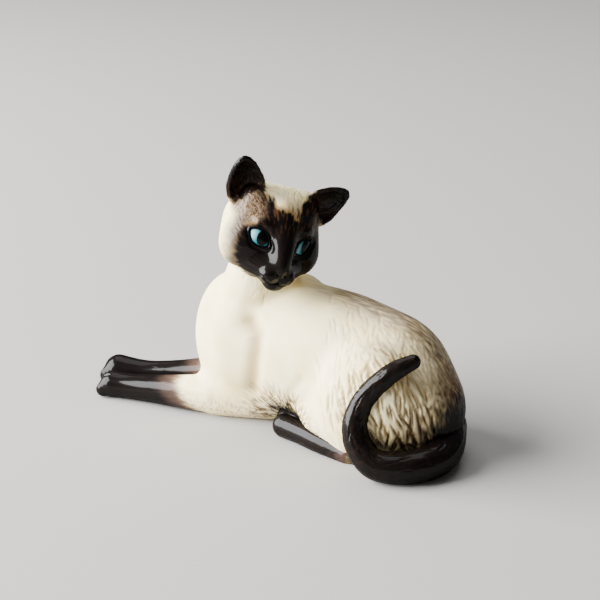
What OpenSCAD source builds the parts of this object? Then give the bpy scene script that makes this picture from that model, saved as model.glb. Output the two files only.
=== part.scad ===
// A lying cat, slip-cast in earthenware and glazed, with its head turned back over its shoulder.
// X runs from the forepaws to the rump, Y to the cat's right, Z up from the table.
// Every casting is luted to its neighbour on one shared face, as the potter joins them before firing.

/* [Trunk] */

// length of the trunk, breast to rump
trunk_l = 141; // [110:1:170]
// width across the breast
breast_w = 38; // [30:1:48]
// width across the ribs
rib_w = 50; // [40:1:62]
// width across the loin
loin_w = 54; // [42:1:66]
// width across the hips, haunches left out
hip_w = 52; // [42:1:64]
// height of the breast
breast_h = 71; // [58:1:80]
// height of the back over the ribs
rib_h = 71; // [58:1:82]
// height of the back over the loin
loin_h = 69; // [56:1:80]
// height of the back over the hips
hip_h = 64; // [52:1:76]
// height of the rump just above the tail
rump_h = 48; // [38:1:58]
// how far the trunk stands to the right of the tail's low curve
trunk_y = 6; // [2:0.5:10]

/* [Shoulders and haunches] */

// length of each shoulder
shoulder_l = 40; // [32:1:48]
// thickness of each shoulder
shoulder_w = 29; // [24:1:36]
// height of the near shoulder
shoulder_h = 69; // [56:1:78]
// height of the blade that shows behind the turned head
blade_h = 72; // [64:1:80]
// length of the near haunch
haunch_l = 60; // [48:1:72]
// thickness of the near haunch
haunch_w = 46; // [36:1:56]
// height of the near haunch
haunch_h = 57; // [46:1:66]
// length of the far haunch
far_haunch_l = 62; // [50:1:74]
// thickness of the far haunch
far_haunch_w = 36; // [30:1:44]
// height of the far haunch
far_haunch_h = 46; // [38:1:56]

/* [Neck] */

// thickness of the neck where it leaves the shoulders
neck_root_d = 38; // [32:1:46]
// thickness of the neck just under the head
neck_top_d = 30; // [26:1:36]
// height of the neck's root above the table
neck_root_z = 58; // [50:1:66]
// how far the neck leans back from root to head
neck_lean = 11; // [6:1:16]

/* [Head] */

// height of the middle of the skull above the table
head_z = 94; // [88:1:102]
// how far the face is turned round from the cat's left side
head_turn = 47; // [20:1:60]
// how far the head is tipped over sideways
head_tip = 17.5; // [0:0.5:30]
// how far the nose is lifted
head_lift = 3; // [-5:1:15]
// width of the skull
skull_w = 44; // [36:1:52]
// depth of the skull, front to back
skull_l = 42; // [36:1:50]
// height of the skull
skull_h = 38; // [32:1:46]
// width across the cheeks
cheek_w = 48; // [36:1:52]
// width of the muzzle
muzzle_w = 19; // [15:1:24]
// height of the muzzle
muzzle_h = 16; // [13:1:20]
// how far the nose stands in front of the middle of the skull
nose_reach = 27; // [24:1:32]
// distance between the middles of the eyes
eye_gap = 20.5; // [17:0.5:24]
// width of each eyeball
eye_d = 9; // [7:0.5:11]

/* [Ears] */

// height of each ear, root to tip
ear_h = 27; // [20:1:34]
// width of each ear at its root
ear_w = 21; // [16:1:26]
// thickness of the ear's shell
ear_t = 2.6; // [2:0.2:4]
// how far the tips stand out from the head's middle line
ear_spread = 28; // [22:1:34]
// depth of the hollow in the front of each ear
ear_cup = 3.2; // [2:0.2:5]

/* [Forelegs] */

// reach of the near foreleg in front of the breast
near_reach = 49; // [36:0.5:58]
// reach of the far foreleg in front of the breast
far_reach = 56; // [38:0.5:60]
// thickness of a foreleg at the elbow
elbow_d = 20; // [16:1:24]
// thickness of a foreleg behind the paw
wrist_d = 13; // [11:0.5:16]
// width of a forepaw
paw_d = 14.5; // [12:0.5:17]
// distance between the two forelegs at the elbows
elbow_gap = 19; // [16:1:24]

/* [Hind feet] */

// length of the near hind foot in front of the haunch
hind_l = 35; // [26:1:42]
// thickness of a hind foot
hind_d = 11; // [9:0.5:14]
// how far the far hind foot stands ahead of the near one
hind_step = 3; // [1:1:8]

/* [Tail] */

// thickness of the tail where it leaves the rump
tail_root_d = 19; // [15:0.5:22]
// thickness of the tail in its low curve
tail_mid_d = 14; // [12:0.5:17]
// thickness of the tail at its tip
tail_tip_d = 8; // [6:0.5:11]
// height of the tail's tip above the table
tail_tip_z = 52; // [42:1:58]
// length of the tail's loop along the haunch
tail_loop_l = 26; // [20:1:32]

/* [Casting] */

// thickness of the cast wall
wall = 4; // [3:0.25:5.5]
// width of the vent hole under the belly
vent_d = 8; // [5:0.5:12]

/* [Hidden] */

ivory = "#efe8d2";
seal = "#2a201b";

// stations along the trunk, from the breast (0) to the rump (1)
breast_x = -48;
function along(f) = breast_x + f * trunk_l;
rump_x = along(1);

// the whole cat is centred over the table by its forepaws and its rump
near_toe_x = breast_x - near_reach;
far_toe_x = breast_x - far_reach;
toe_x = min(near_toe_x, far_toe_x);
tail_bend_x = rump_x - 5.5;
tail_back_x = tail_bend_x + tail_root_d / 2;
shift_x = -(toe_x + max(rump_x, tail_back_x)) / 2;

// the tail's low curve stands outside the near haunch
haunch_y = trunk_y - 16;
tail_y = haunch_y - haunch_w / 2 - 3;
left_y = tail_y - tail_mid_d / 2;
right_y = trunk_y + 12 + far_haunch_w / 2;
shift_y = -(left_y + right_y) / 2;

// the head hangs from the top of the neck
neck_x = -17;
neck_top = [neck_x + neck_lean, trunk_y - 3, head_z - 5];
neck_root = [neck_x, trunk_y + 2, neck_root_z];
head_at = [neck_x + neck_lean + 2.3, trunk_y - 7.5, head_z];

big = 400;
fine = 32;
plain = 20;
rough = 16;

// ---- shapes shared by the castings ----

// An egg-shaped lump standing between two heights
module lump(x, y, l, w, low, high, turn = 0, less = 0)
  translate([x, y, (low + high) / 2])
    rotate([0, 0, turn])
      scale([l / 2 - less, w / 2 - less, (high - low) / 2 - less])
        sphere(r = 1);

// An egg-shaped lump about its own middle
module egg(at, size)
  translate(at)
    scale(size / 2)
      sphere(r = 1);

// A roll of clay through a row of points, each [x, y, z, thickness]
module roll(row, less = 0)
  for (i = [0 : len(row) - 2])
    hull() {
      translate([row[i][0], row[i][1], row[i][2]])
        sphere(d = row[i][3] - 2 * less);
      translate([row[i + 1][0], row[i + 1][1], row[i + 1][2]])
        sphere(d = row[i + 1][3] - 2 * less);
    }

// A point on a smooth curve through four rows
function ease(a, b, c, d, t) =
  0.5 * ((2 * b) + (c - a) * t + (2 * a - 5 * b + 4 * c - d) * t * t
         + (3 * b - a - 3 * c + d) * t * t * t);

// The same row with extra points eased in between
function eased(row, parts) = [
  for (i = [0 : len(row) - 2])
    for (k = [0 : parts - 1])
      ease(row[max(i - 1, 0)], row[i], row[i + 1], row[min(i + 2, len(row) - 1)], k / parts),
  row[len(row) - 1]
];

module above_table(low = 0)
  intersection() {
    children();
    translate([-big / 2, -big / 2, low])
      cube([big, big, big]);
  }

// ---- trunk ----

module breast(less = 0)
  lump(along(0.156), trunk_y + 2, 44, breast_w, 4, breast_h, 0, less);

module ribs(less = 0)
  lump(along(0.34), trunk_y + 2, 84, rib_w, 5, rib_h, 0, less);

module loin(less = 0)
  lump(along(0.539), trunk_y, 74, loin_w, 2, loin_h, 0, less);

module hips(less = 0)
  lump(along(0.714), trunk_y - 2, 66, hip_w, -4, hip_h, -4, less);

module rump(less = 0)
  lump(rump_x - 23.5, trunk_y - 6, 48, hip_w - 3, -4, rump_h, 0, less);

module shoulders() {
  lump(-18, trunk_y - 7, shoulder_l, shoulder_w, 11, shoulder_h);
  lump(-16, trunk_y + 13, shoulder_l, shoulder_w, 10, shoulder_h + 1);
  hull() {
    lump(4, trunk_y + 12, 20, 16, blade_h - 24, blade_h);
    lump(16, trunk_y + 8, 20, 16, blade_h - 34, blade_h - 5);
  }
}

module near_haunch(less = 0)
  lump(along(0.709), haunch_y, haunch_l, haunch_w, -5, haunch_h, -10, less);

module far_haunch(less = 0)
  lump(along(0.68), trunk_y + 12, far_haunch_l, far_haunch_w, -2, far_haunch_h, 4, less);

// The thigh's front, which lies over the hind foot
module thigh()
  lump(along(0.596), haunch_y - 2.5, haunch_l * 0.68, haunch_w * 0.54, 2.5, haunch_h * 0.52, -10);

module haunches() {
  near_haunch();
  thigh();
  hull() {
    far_haunch();
    rump();
  }
}

module belly()
  hull() {
    lump(-28, trunk_y + 3, 34, 26, -3, 28);
    lump(18, trunk_y + 3, 50, 34, -3, 28);
  }

module elbows() {
  lump(-34, trunk_y + 2.3 - elbow_gap / 2, 34, elbow_d * 1.08, -2, 20);
  lump(-33, trunk_y + 3 + elbow_gap / 2, 30, elbow_d, -2, 23);
}

neck_row = eased([
  [neck_root[0], neck_root[1], neck_root[2], neck_root_d],
  [neck_root[0] + neck_lean * 0.45, neck_root[1] - 2, neck_root_z + 12, neck_root_d * 0.87],
  [neck_top[0] - 1, neck_top[1] + 1, neck_top[2] - 10, neck_top_d],
  [neck_top[0], neck_top[1], neck_top[2], neck_top_d]
], 2);

// The taut skins that run from one of the trunk's forms to the next
module trunk_skins(less = 0) {
  hull() {
    breast(less);
    ribs(less);
  }
  hull() {
    ribs(less);
    loin(less);
  }
  hull() {
    loin(less);
    hips(less);
  }
  hull() {
    hips(less);
    rump(less);
  }
}

module trunk_outside()
  above_table() {
    $fn = fine;
    trunk_skins();
    shoulders();
    haunches();
    belly();
    elbows();
    roll(neck_row);
  }

// The room the slip leaves when it is poured out again
module trunk_inside()
  above_table(wall) {
    $fn = rough;
    trunk_skins(wall);
    near_haunch(wall);
    far_haunch(wall);
    roll(neck_row, wall);
  }

module body()
  color(ivory)
    difference() {
      trunk_outside();
      head_outside();
      trunk_inside();
      translate([along(0.437), trunk_y + 2, -1])
        cylinder(d = vent_d, h = rib_h / 2, $fn = plain);
    }

// ---- head ----

module head_place()
  translate(head_at)
    rotate([0, 0, head_turn])
      rotate([head_lift, 0, 0])
        rotate([0, head_tip, 0])
          children();

module skull(less = 0)
  egg([0, 4, 3], [skull_w - 2 * less, skull_l - 2 * less, skull_h - 2 * less]);

module cheeks(less = 0)
  for (side = [-1, 1])
    egg([side * (cheek_w / 2 - 10), -5, -5], [20, 22, 21] - 2 * less * [1, 1, 1]);

// The flat of the head between the ears
module poll()
  for (side = [-1, 1])
    egg([side * 12, 2.5, 16], [15, 17, 15]);

module nape()
  egg([0, 9, -8], [32, 30, 27]);

module muzzle() {
  hull() {
    egg([0, -nose_reach + 9, -8.5], [muzzle_w, 15, muzzle_h]);
    egg([-8, -7, -4], [22, 18, 24]);
    egg([8, -7, -4], [22, 18, 24]);
  }
  for (side = [-1, 1])
    egg([side * muzzle_w * 0.2, -nose_reach + 5.6, -10.6], [muzzle_w * 0.62, 12, 10.5]);
  hull() {
    egg([0, -nose_reach + 7.5, -15], [muzzle_w * 0.56, 10.5, 8]);
    egg([0, -6, -13], [20, 16, 10]);
  }
  hull() {
    egg([0, -11, 9], [17, 10, 14]);
    egg([0, -nose_reach + 5.5, -3], [9.5, 9, 8]);
  }
  hull() {
    egg([0, -nose_reach + 5.5, -3], [9.5, 9, 8]);
    egg([0, -nose_reach + 2.2, -6.8], [7, 4.4, 4.4]);
  }
}

module eyes()
  for (side = [-1, 1])
    egg([side * eye_gap / 2, -12.6, 2.4], [eye_d * 1.15, eye_d * 0.9, eye_d * 0.95]);

module brows()
  for (side = [-1, 1])
    hull() {
      egg([side * eye_gap * 0.42, -10.2, 8], [13, 11, 9]);
      egg([side * eye_gap * 0.72, -6, 8.5], [10, 12, 9]);
    }

module head_outside()
  head_place() {
    $fn = fine;
    hull() {
      skull();
      cheeks();
      poll();
    }
    nape();
    muzzle();
    brows();
    eyes();
  }

module head_inside() {
  $fn = rough;
  head_place() {
    skull(wall);
    hull() {
      cheeks(wall);
      egg([0, 9, -8], [24, 22, 19]);
    }
  }
  roll(neck_row, wall);
}

module head()
  color(ivory)
    difference() {
      head_outside();
      head_inside();
    }

// ---- ears ----

// The ear's stations from root to tip: height, half width, half thickness, step inwards
ear_rows = [
  [-0.10, 0.50, 1.7, 0],
  [0.12, 0.50, 1.4, 0],
  [0.34, 0.46, 1.1, 0.01],
  [0.55, 0.37, 0.9, 0.02],
  [0.74, 0.26, 0.75, 0.03],
  [0.88, 0.16, 0.65, 0.03],
  [0.96, 0.08, 0.5, 0.02]
];

ear_root_z = 11.5;
// the left ear is swung out and the right one stands up, since the cat listens behind itself
ear_swing = 2.2;

module ear_place(side) {
  root = [side * ear_spread * 0.58, 2, ear_root_z];
  tip = [side * ear_spread + ear_swing, -2.5, ear_root_z + ear_h * 0.78 - side * ear_swing];
  translate(root)
    rotate([0, atan2(tip[0] - root[0], tip[2] - root[2]), 0])
      rotate([6, 0, side * 14])
        children();
}

// One slice of an ear, rounded in plan
module ear_slice(side, row, less, deep)
  translate([side * row[3] * ear_w, -row[0] * 3, row[0] * ear_h])
    scale([max(row[1] * ear_w - less, 0.6), deep, 1.6])
      sphere(r = 1);

// One ear before its root is trimmed to the head; side is 1 for the cat's left
module ear_shape(side)
  ear_place(side)
    for (i = [0 : len(ear_rows) - 2])
      hull() {
        ear_slice(side, ear_rows[i], 0, ear_rows[i][2] * ear_t);
        ear_slice(side, ear_rows[i + 1], 0, ear_rows[i + 1][2] * ear_t);
      }

// The scoop in the front of an ear
module ear_hollow(side)
  ear_place(side)
    translate([0, -ear_t * 1.5, 0])
      for (i = [0 : len(ear_rows) - 4])
        hull() {
          ear_slice(side, ear_rows[i], ear_t * 0.9, ear_cup);
          ear_slice(side, ear_rows[i + 1], ear_t * 0.9, ear_cup * 0.85);
        }

module ear(side)
  color(seal)
    difference() {
      head_place() {
        $fn = plain;
        difference() {
          ear_shape(side);
          ear_hollow(side);
        }
      }
      head_outside();
    }

module left_ear() ear(1);

module right_ear() ear(-1);

// ---- forelegs ----

near_leg_y = trunk_y + 3 - elbow_gap / 2;
far_leg_y = trunk_y + 3 + elbow_gap / 2;
far_lift = 1;

near_leg_row = eased([
  [-34, near_leg_y - 1.5, elbow_d / 2 - 0.5, elbow_d * 0.88],
  [near_toe_x + near_reach * 0.90, near_leg_y - 3, wrist_d / 2 + 1.4, wrist_d * 1.25],
  [near_toe_x + near_reach * 0.58, near_leg_y - 4.8, wrist_d / 2 + 0.4, wrist_d * 1.08],
  [near_toe_x + near_reach * 0.32, near_leg_y - 6.2, wrist_d / 2 - 0.3, wrist_d],
  [near_toe_x + paw_d * 0.60, near_leg_y - 7.2, paw_d / 2 - 1, paw_d * 0.96]
], 2);

far_leg_row = eased([
  [-34, far_leg_y, elbow_d / 2 + 3, elbow_d * 0.88],
  [far_toe_x + far_reach * 0.90, far_leg_y - 3, wrist_d / 2 + 4.2, wrist_d * 1.18],
  [far_toe_x + far_reach * 0.60, far_leg_y - 6.3, wrist_d / 2 + 2.4, wrist_d],
  [far_toe_x + far_reach * 0.36, far_leg_y - 9.3, wrist_d / 2 + far_lift, wrist_d],
  [far_toe_x + paw_d * 0.62, far_leg_y - 12, paw_d / 2 + far_lift - 0.8, paw_d]
], 2);

// Four toes round the front of a paw whose middle is at a point
module toes(at)
  for (k = [-1.5 : 1 : 1.5])
    translate([at[0] - paw_d * (0.30 - abs(k) * 0.07), at[1] + k * paw_d * 0.24, at[2] - paw_d * 0.12])
      scale([1.25, 0.8, 1.15])
        sphere(d = paw_d * 0.40);

module near_leg_shape()
  above_table() {
    $fn = plain;
    roll(near_leg_row);
    toes(near_leg_row[len(near_leg_row) - 1]);
  }

module far_leg_shape()
  above_table() {
    $fn = plain;
    roll(far_leg_row);
    toes(far_leg_row[len(far_leg_row) - 1]);
  }

module left_foreleg()
  color(seal)
    difference() {
      near_leg_shape();
      trunk_outside();
    }

module right_foreleg()
  color(seal)
    difference() {
      far_leg_shape();
      trunk_outside();
      near_leg_shape();
    }

// ---- hind feet ----

hind_root_x = along(0.66);
near_hind_toe_x = hind_root_x - 4 - hind_l;

near_hind_row = eased([
  [hind_root_x, haunch_y - 10, hind_d / 2 + 1, hind_d * 1.3],
  [hind_root_x - 4 - hind_l * 0.30, haunch_y - 7, hind_d / 2, hind_d * 1.04],
  [hind_root_x - 4 - hind_l * 0.65, haunch_y - 4, hind_d / 2 - 0.3, hind_d],
  [near_hind_toe_x + hind_d / 2, haunch_y - 1, hind_d / 2 - 0.4, hind_d * 1.04]
], 2);

far_hind_row = eased([
  [near_hind_toe_x + hind_d * 1.4 + hind_step, haunch_y + 5, hind_d / 2 + 0.5, hind_d * 1.16],
  [near_hind_toe_x + hind_d * 0.9, haunch_y + 4.5, hind_d / 2 + 0.6, hind_d * 1.14],
  [near_hind_toe_x + hind_d / 2 - hind_step, haunch_y + 4.5, hind_d / 2 + 0.6, hind_d * 1.06]
], 2);

module near_hind_shape()
  above_table() {
    $fn = plain;
    roll(near_hind_row);
  }

module far_hind_shape()
  above_table() {
    $fn = plain;
    roll(far_hind_row);
  }

module left_hind_foot()
  color(seal)
    difference() {
      near_hind_shape();
      trunk_outside();
    }

module right_hind_foot()
  color(seal)
    difference() {
      far_hind_shape();
      trunk_outside();
      near_hind_shape();
    }

// ---- tail ----

tail_x = along(0.73);
tail_row = eased([
  [rump_x - 11, trunk_y + 3, tail_root_d / 2 + 2.5, tail_root_d],
  [tail_bend_x, trunk_y - 12, tail_root_d / 2 - 0.5, tail_root_d * 0.95],
  [tail_bend_x, trunk_y - 23, tail_mid_d / 2 + 0.8, tail_mid_d * 1.17],
  [tail_bend_x - 5, tail_y + 9, tail_mid_d / 2 + 0.4, tail_mid_d * 1.10],
  [tail_x + 20, tail_y + 3, tail_mid_d / 2 + 0.2, tail_mid_d * 1.06],
  [tail_x + 11, tail_y, tail_mid_d / 2 + 1.5, tail_mid_d],
  [tail_x + 3.5, tail_y + 0.5, tail_mid_d / 2 + 8, tail_mid_d * 0.92],
  [tail_x + 0.5, tail_y + 2.5, tail_tip_z * 0.48, tail_mid_d * 0.83],
  [tail_x + tail_loop_l * 0.14, tail_y + 6, tail_tip_z * 0.69, tail_mid_d * 0.75],
  [tail_x + tail_loop_l * 0.37, tail_y + 9, tail_tip_z * 0.85, tail_mid_d * 0.69],
  [tail_x + tail_loop_l * 0.60, tail_y + 13, tail_tip_z * 0.945, (tail_tip_d + tail_mid_d * 0.6) / 2],
  [tail_x + tail_loop_l - tail_tip_d / 2, tail_y + 17, tail_tip_z, tail_tip_d]
], 2);

module tail_shape()
  above_table() {
    $fn = plain;
    roll(tail_row);
  }

module tail()
  color(seal)
    difference() {
      tail_shape();
      trunk_outside();
      near_hind_shape();
    }

module placed()
  translate([shift_x, shift_y, 0])
    children();

placed() body();
placed() head();
placed() left_ear();
placed() right_ear();
placed() left_foreleg();
placed() right_foreleg();
placed() left_hind_foot();
placed() right_hind_foot();
placed() tail();
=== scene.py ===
import logging
import math
from contextlib import contextmanager
from dataclasses import dataclass, field
from enum import Enum
from typing import Callable, Iterable, Iterator, Sequence

import bpy
import numpy as np
from mathutils import Matrix, Vector, noise
from mathutils.kdtree import KDTree


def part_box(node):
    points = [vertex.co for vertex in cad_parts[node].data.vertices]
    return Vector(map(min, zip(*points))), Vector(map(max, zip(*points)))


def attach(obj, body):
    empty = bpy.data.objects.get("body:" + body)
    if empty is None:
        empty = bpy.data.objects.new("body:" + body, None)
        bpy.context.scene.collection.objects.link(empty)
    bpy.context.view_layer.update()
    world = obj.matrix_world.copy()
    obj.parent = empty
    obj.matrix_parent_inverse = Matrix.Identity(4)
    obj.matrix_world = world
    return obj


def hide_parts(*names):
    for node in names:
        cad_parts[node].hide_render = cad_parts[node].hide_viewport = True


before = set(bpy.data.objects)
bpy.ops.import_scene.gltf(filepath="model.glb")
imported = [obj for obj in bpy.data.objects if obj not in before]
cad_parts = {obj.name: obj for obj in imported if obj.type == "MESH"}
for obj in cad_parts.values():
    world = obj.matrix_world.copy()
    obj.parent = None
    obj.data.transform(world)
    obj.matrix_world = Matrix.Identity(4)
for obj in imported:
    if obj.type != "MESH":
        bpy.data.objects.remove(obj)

logging.basicConfig(level=logging.INFO, format="%(message)s")
log = logging.getLogger("cat")

MM = 0.001
Point = tuple[float, float, float]
Row = tuple[float, float, float, float]


class Side(Enum):
    """The cat's own left and right, with the sign of the head's X on that side."""

    LEFT = 1
    RIGHT = -1


# ---------------------------------------------------------------- the modeller's tools


@dataclass(frozen=True)
class Lump:
    """An egg of clay: its middle, its three radii and its turn in degrees, all in millimetres."""

    at: Point
    radii: Point
    turn: Point = (0.0, 0.0, 0.0)


class Clay:
    """A piece of clay on the bench, in millimetres, until it is fired down to metres."""

    def __init__(self, name: str, data: bpy.types.ID | None = None) -> None:
        """Lays a piece on the bench.

        Args:
            name: what it is called.
            data: its mesh or curve, or None for an empty mesh.
        """
        self.object = bpy.data.objects.new(name, data or bpy.data.meshes.new(name))
        bpy.context.scene.collection.objects.link(self.object)

    @property
    def mesh(self) -> bpy.types.Mesh:
        """The mesh of the piece."""
        return self.object.data

    def pick(self) -> None:
        """Makes this the only selected object."""
        bpy.ops.object.select_all(action="DESELECT")
        self.object.select_set(True)
        bpy.context.view_layer.objects.active = self.object

    @contextmanager
    def editing(self) -> Iterator[None]:
        """Opens the piece in edit mode with nothing on it selected, and closes it after.

        Returns:
            Nothing of use, while the piece is open.
        """
        self.pick()
        bpy.ops.object.mode_set(mode="EDIT")
        bpy.ops.mesh.select_all(action="DESELECT")
        yield
        bpy.ops.object.mode_set(mode="OBJECT")

    def add_lumps(self, lumps: Iterable[Lump], rings: int = 16) -> "Clay":
        """Presses eggs of clay on, each left as its own closed shell.

        Args:
            lumps: the eggs.
            rings: how finely each is rounded.

        Returns:
            This piece.
        """
        with self.editing():
            for lump in lumps:
                bpy.ops.mesh.select_all(action="DESELECT")
                bpy.ops.mesh.primitive_uv_sphere_add(
                    segments=rings * 2, ring_count=rings, radius=1.0, location=lump.at,
                    rotation=[math.radians(angle) for angle in lump.turn], scale=lump.radii)
        return self

    def add_roll(self, row: Sequence[Row], parts: int = 6) -> "Clay":
        """Presses on a tapering roll of clay with rounded ends.

        Args:
            row: places along the roll with a radius each.
            parts: how many steps each gap is cut into.

        Returns:
            This piece.
        """
        stations = curve_row(row, parts)
        spine = bpy.data.curves.new("roll", "CURVE")
        spine.dimensions = "3D"
        spine.bevel_depth = 1.0
        spine.bevel_resolution = 5
        spine.use_fill_caps = True
        line = spine.splines.new("POLY")
        line.points.add(len(stations) - 1)
        for point, (x, y, z, radius) in zip(line.points, stations):
            point.co = (x, y, z, 1.0)
            point.radius = radius
        coil = Clay("roll", spine)
        coil.pick()
        bpy.ops.object.convert(target="MESH")
        ends = [Lump(tuple(row[k][:3]), (row[k][3],) * 3) for k in (0, -1)]
        return self.join(coil).add_lumps(ends, 12)

    def wrap(self) -> "Clay":
        """Pulls one taut skin over everything in this piece.

        Returns:
            This piece.
        """
        with self.editing():
            bpy.ops.mesh.select_all(action="SELECT")
            bpy.ops.mesh.convex_hull()
        return self

    def join(self, *others: "Clay") -> "Clay":
        """Takes other pieces into this one.

        Args:
            others: the pieces, which are used up.

        Returns:
            This piece.
        """
        self.pick()
        for other in others:
            other.object.select_set(True)
        bpy.ops.object.join()
        return self

    def apply(self, kind: str, **settings: object) -> "Clay":
        """Adds a modifier with its settings and applies it.

        Args:
            kind: the modifier's type.
            settings: its properties.

        Returns:
            This piece.
        """
        self.pick()
        modifier = self.object.modifiers.new("tool", kind)
        for name, value in settings.items():
            setattr(modifier, name, value)
        bpy.ops.object.modifier_apply(modifier=modifier.name)
        return self

    def knead(self, grain: float, strokes: int) -> "Clay":
        """Works the shells into one skin and smooths it.

        Args:
            grain: the size of the skin's faces.
            strokes: how many times it is smoothed over.

        Returns:
            This piece.
        """
        self.apply("REMESH", mode="VOXEL", voxel_size=grain)
        if strokes:
            self.apply("SMOOTH", factor=0.5, iterations=strokes)
        return self

    def copy(self, name: str) -> "Clay":
        """A second piece with its own mesh, under the given name."""
        return Clay(name, self.mesh.copy())

    def cut(self, cutter: "Clay", keep_inside: bool = False) -> "Clay":
        """Cuts this piece with another.

        Args:
            cutter: the other piece, which is used up.
            keep_inside: keep what lies inside the cutter and not what lies outside it.

        Returns:
            This piece.
        """
        how = "INTERSECT" if keep_inside else "DIFFERENCE"
        self.apply("BOOLEAN", operation=how, solver="MANIFOLD", object=cutter.object)
        bpy.data.objects.remove(cutter.object)
        return self

    def read(self, key: str) -> np.ndarray:
        """Reads a vector from every vertex.

        Args:
            key: the vertices' own word for it.

        Returns:
            One row a vertex.
        """
        flat = np.empty(len(self.mesh.vertices) * 3, dtype=np.float32)
        self.mesh.vertices.foreach_get(key, flat)
        return flat.reshape(-1, 3).astype(np.float64)

    def points(self) -> np.ndarray:
        """The places of all vertices, one row each."""
        return self.read("co")

    def normals(self) -> np.ndarray:
        """The outward directions at all vertices, one row each."""
        return self.read("normal")

    def set_points(self, points: np.ndarray) -> None:
        """Moves all vertices to new places."""
        self.mesh.vertices.foreach_set("co", points.astype(np.float32).ravel())
        self.mesh.update()

    def paint(self, name: str, colours: np.ndarray) -> None:
        """Stores one linear colour a vertex.

        Args:
            name: what the colour layer is called.
            colours: red, green and blue, one row a vertex.
        """
        layer = self.mesh.color_attributes.new(name, "FLOAT_COLOR", "POINT")
        full = np.ones((len(colours), 4), dtype=np.float32)
        full[:, :colours.shape[1]] = colours
        layer.data.foreach_set("color", full.ravel())

    def refine(self, wanted: Callable[[np.ndarray], np.ndarray]) -> "Clay":
        """Cuts faces finer where more detail is wanted.

        Args:
            wanted: says for the faces' middles whether they need it.

        Returns:
            The piece.
        """
        with self.editing():
            bpy.ops.mesh.select_mode(type="FACE")
        middles = np.empty(len(self.mesh.polygons) * 3, dtype=np.float32)
        self.mesh.polygons.foreach_get("center", middles)
        self.mesh.polygons.foreach_set("select", wanted(middles.reshape(-1, 3).astype(float)))
        bpy.ops.object.mode_set(mode="EDIT")
        bpy.ops.mesh.subdivide(number_cuts=1)
        bpy.ops.object.mode_set(mode="OBJECT")
        return self

    def fire(self, shift: Vector) -> bpy.types.Object:
        """Sets the piece on the table in metres, with its place in its mesh.

        Args:
            shift: where the modelling bench's middle stands in the row frame, in millimetres.

        Returns:
            The finished object.
        """
        self.pick()
        self.object.location = shift * MM
        self.object.scale = (MM, MM, MM)
        bpy.ops.object.transform_apply(location=True, rotation=True, scale=True)
        bpy.ops.object.shade_smooth_by_angle(angle=math.radians(50))
        return self.object


def curve_row(row: Sequence[Row], parts: int) -> list[Row]:
    """Puts more rows in between, on a smooth curve through the given ones.

    Args:
        row: places with a radius each.
        parts: how many steps each gap is cut into.

    Returns:
        The fuller list.
    """
    ends = [row[0], *row, row[-1]]
    full: list[Row] = []
    for i in range(1, len(ends) - 2):
        a, b, c, d = (np.array(ends[i + k]) for k in (-1, 0, 1, 2))
        for step in range(parts):
            t = step / parts
            full.append(tuple(0.5 * (2 * b + (c - a) * t + (2 * a - 5 * b + 4 * c - d) * t ** 2
                                     + (3 * b - a - 3 * c + d) * t ** 3)))
    return [*full, tuple(row[-1])]


def ramp(low: float, high: float, values: np.ndarray) -> np.ndarray:
    """An eased slope.

    Args:
        low: where it starts at 0, which may lie above high.
        high: where it reaches 1.
        values: the values to judge.

    Returns:
        A share from 0 to 1 for each.
    """
    t = np.clip((values - low) / (high - low), 0.0, 1.0)
    return t * t * (3.0 - 2.0 * t)


def blend(first: np.ndarray, second: np.ndarray, share: np.ndarray) -> np.ndarray:
    """Mixes two colours or colour lists.

    Args:
        first: the colour where the share is 0.
        second: the colour where the share is 1.
        share: how much of the second each point takes.

    Returns:
        One colour a point.
    """
    share = np.asarray(share)[:, None]
    return np.asarray(first) * (1.0 - share) + np.asarray(second) * share


def grain(points: np.ndarray, stretch: Point, octaves: int = 2, seed: float = 0.0) -> np.ndarray:
    """Smooth random values over places.

    Args:
        points: the places.
        stretch: how large the pattern is each way.
        octaves: how many finer layers it has.
        seed: moves the pattern.

    Returns:
        A value for each place, about -1 to 1.
    """
    scaled = points / np.array(stretch) + seed
    return np.array([noise.fractal(Vector(q), 1.0, 2.0, octaves) for q in scaled])


def segment_distance(points: np.ndarray, a: np.ndarray,
                     b: np.ndarray) -> tuple[np.ndarray, np.ndarray]:
    """Measures points against a straight stroke.

    Args:
        points: the places.
        a: the stroke's start.
        b: its end.

    Returns:
        How far each place lies from it, and its share of the way along.
    """
    run = b - a
    t = np.clip((points - a) @ run / max(run @ run, 1e-9), 0.0, 1.0)
    return np.linalg.norm(points - (a + t[:, None] * run), axis=1), t


def line_distance(points: np.ndarray, line: Sequence[Sequence[float]]) -> np.ndarray:
    """How far points lie from a bent line.

    Args:
        points: the places.
        line: the line's corners.

    Returns:
        A distance for each place.
    """
    corners = [np.array(c, dtype=float) for c in line]
    return np.min([segment_distance(points, a, b)[0] for a, b in zip(corners, corners[1:])], axis=0)


@dataclass(frozen=True)
class Strokes:
    """How one pass of the pointed tool cuts: how many hairs, and their size in millimetres."""

    count: int
    length: float
    half_width: float
    depth: float
    stray: float = 0.25


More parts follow.
